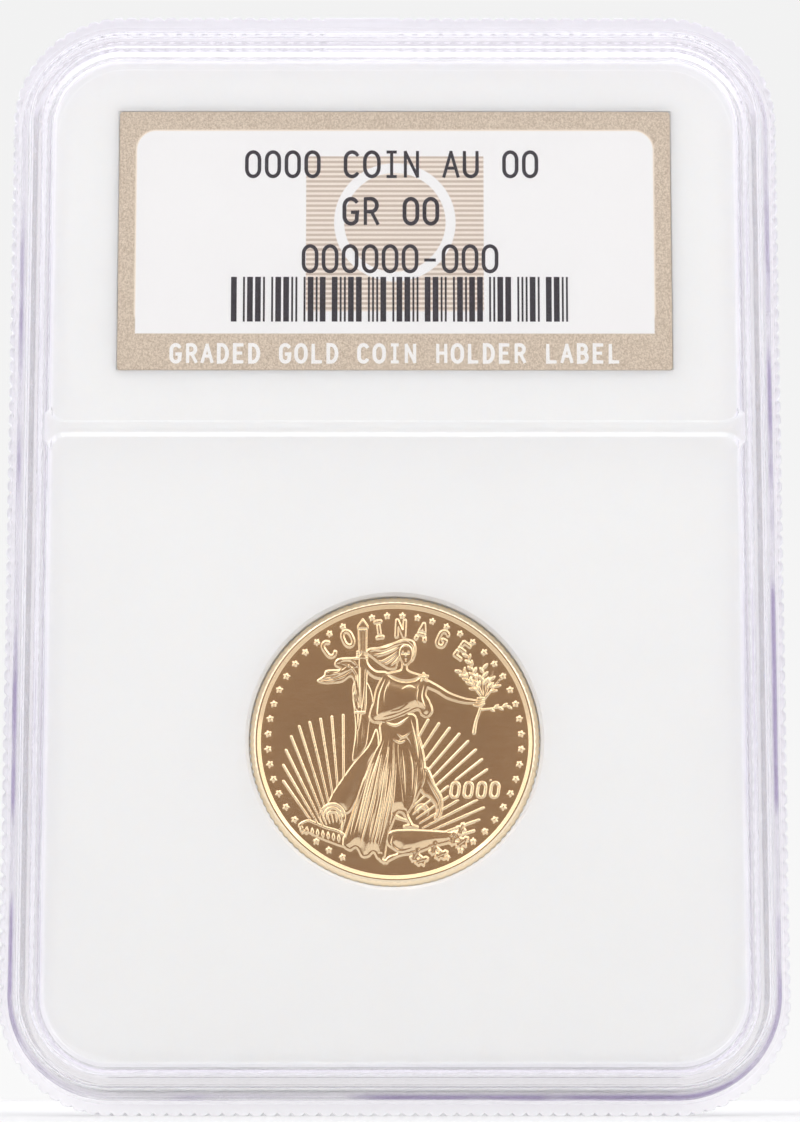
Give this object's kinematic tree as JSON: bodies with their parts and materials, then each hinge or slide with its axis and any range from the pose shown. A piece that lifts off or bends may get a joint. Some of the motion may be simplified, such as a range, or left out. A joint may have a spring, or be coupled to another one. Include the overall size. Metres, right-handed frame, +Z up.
{
  "type": "graded coin holder",
  "caption": "Sealed graded coin holder: clear welded shells with a raised rim and toothed edge round a white core that grips a gold coin below a printed label.",
  "frame": {"origin": "middle of the bottom edge, under the centre of the holder's thickness", "axes": "+Z up the height towards the label end, +Y towards the back, front window facing -Y, +X to the right"},
  "size_m": [0.059, 0.008, 0.0844],
  "materials": {
    "clear_front": "clear, faintly lavender, polished",
    "clear_rear": "clear, faintly lavender, polished",
    "core": "satin white",
    "coin": "bright struck gold",
    "front_label": "printed card, tan border",
    "rear_label": "silver security foil on paper"
  },
  "bodies": {
    "root": {"front_shell": "clear_front", "rear_shell": "clear_rear", "core": "core", "coin": "coin", "front_label": "front_label", "rear_label": "rear_label"}
  },
  "joints": []
}
